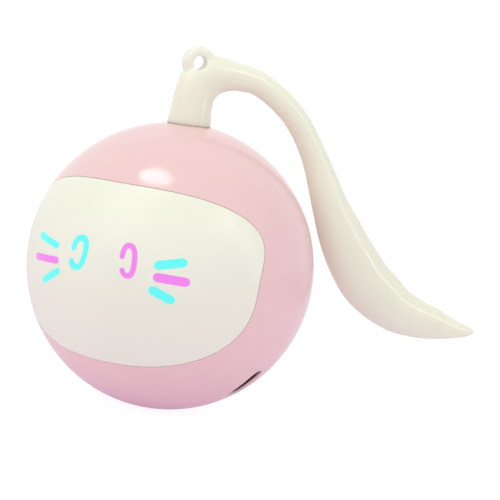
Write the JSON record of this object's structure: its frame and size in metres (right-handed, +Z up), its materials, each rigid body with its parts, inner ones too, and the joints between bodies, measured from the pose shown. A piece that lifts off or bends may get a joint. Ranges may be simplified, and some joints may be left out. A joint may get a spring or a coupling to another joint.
{
  "type": "self rolling cat ball",
  "caption": "Palm-sized rolling ball for cats: round shell, inset face panel with light windows, motor-driven weight inside, and a long soft tail that arches over from its top.",
  "frame": {"origin": "middle of the small flat under the ball, on the floor it stands on", "axes": "+Z up through the tail's root, -Y out of the middle of the face, +X the side with the charging slot, in metres"},
  "size_m": [0.0911, 0.0795, 0.0822],
  "materials": {
    "pink_plastic": "glossy moulded ABS, pale pink",
    "ivory_plastic": "glossy translucent ivory",
    "ivory_silicone": "satin moulded silicone, ivory",
    "cyan_light": "lit cyan light window",
    "pink_light": "lit pink light window",
    "white_plastic": "matte white moulded plastic",
    "gear_plastic": "natural acetal",
    "black_plastic": "matte black",
    "green_board": "green circuit board",
    "steel": "plain steel",
    "brass": "turned brass",
    "battery_foil": "silver grey pouch"
  },
  "bodies": {
    "ball": {"battery": "battery_foil", "charging_socket": "steel", "control_chip": "black_plastic", "face_panel": "ivory_plastic", "gearbox_cover": "white_plastic", "gearbox_screw_back_lower": "steel", "gearbox_screw_back_upper": "steel", "gearbox_screw_front_lower": "steel", "gearbox_screw_front_upper": "steel", "idler_pin": "steel", "left_bush": "brass", "left_eye_led": "ivory_plastic", "left_eye_window": "cyan_light", "left_lower_whisker_led": "ivory_plastic", "left_lower_whisker_window": "cyan_light", "left_middle_whisker_led": "ivory_plastic", "left_middle_whisker_window": "pink_light", "left_side_plate": "white_plastic", "left_side_plate_screw_lower": "steel", "left_side_plate_screw_upper": "steel", "left_upper_whisker_led": "ivory_plastic", "left_upper_whisker_window": "cyan_light", "light_board": "green_board", "light_board_screw_lower": "steel", "light_board_screw_upper": "steel", "main_board": "green_board", "main_board_screw_1": "steel", "main_board_screw_2": "steel", "motor": "steel", "motor_end_cap": "black_plastic", "outer_shell": "pink_plastic", "power_switch": "steel", "right_bush": "brass", "right_eye_led": "ivory_plastic", "right_eye_window": "pink_light", "right_lower_whisker_led": "ivory_plastic", "right_lower_whisker_window": "cyan_light", "right_middle_whisker_led": "ivory_plastic", "right_middle_whisker_window": "pink_light", "right_side_plate": "white_plastic", "right_side_plate_screw_lower": "steel", "right_side_plate_screw_upper": "steel", "right_upper_whisker_led": "ivory_plastic", "right_upper_whisker_window": "cyan_light", "switch_board": "green_board", "switch_board_screw_1": "steel", "switch_board_screw_2": "steel"},
    "weight": {"axle": "steel", "main_gear": "gear_plastic", "axle_clip": "steel", "weight_arm": "white_plastic", "steel_weight": "steel", "weight_screw_1": "steel", "weight_screw_2": "steel"},
    "idler": {"idler_gear": "gear_plastic"},
    "motor_rotor": {"motor_pinion": "brass"},
    "tail": {"tail": "ivory_silicone"},
    "button": {"power_button": "pink_plastic", "switch_plunger": "black_plastic"}
  },
  "joints": [
    {"name": "weight_spin", "type": "hinge", "parent": "ball", "child": "weight", "pos_m": [0, 0, 0.03219], "axis": [1, 0, 0], "continuous": true},
    {"name": "idler_spin", "type": "hinge", "parent": "ball", "child": "idler", "pos_m": [0, -0.0096, 0.03219], "axis": [1, 0, 0], "continuous": true},
    {"name": "motor_spin", "type": "hinge", "parent": "ball", "child": "motor_rotor", "pos_m": [0, -0.0016, 0.03219], "axis": [1, 0, 0], "continuous": true},
    {"name": "tail_swivel", "type": "hinge", "parent": "ball", "child": "tail", "pos_m": [0, 0, 0.03219], "axis": [0, 0, 1], "continuous": true},
    {"name": "button_press", "type": "slide", "parent": "ball", "child": "button", "axis": [0.342, 0, 0.9397], "range_m": [0, 0.0005], "stiffness_N_per_m": 400}
  ],
  "couplings": [
    {"joint": "idler_spin", "follows": "weight_spin", "ratio": -3},
    {"joint": "motor_spin", "follows": "weight_spin", "ratio": 9}
  ]
}
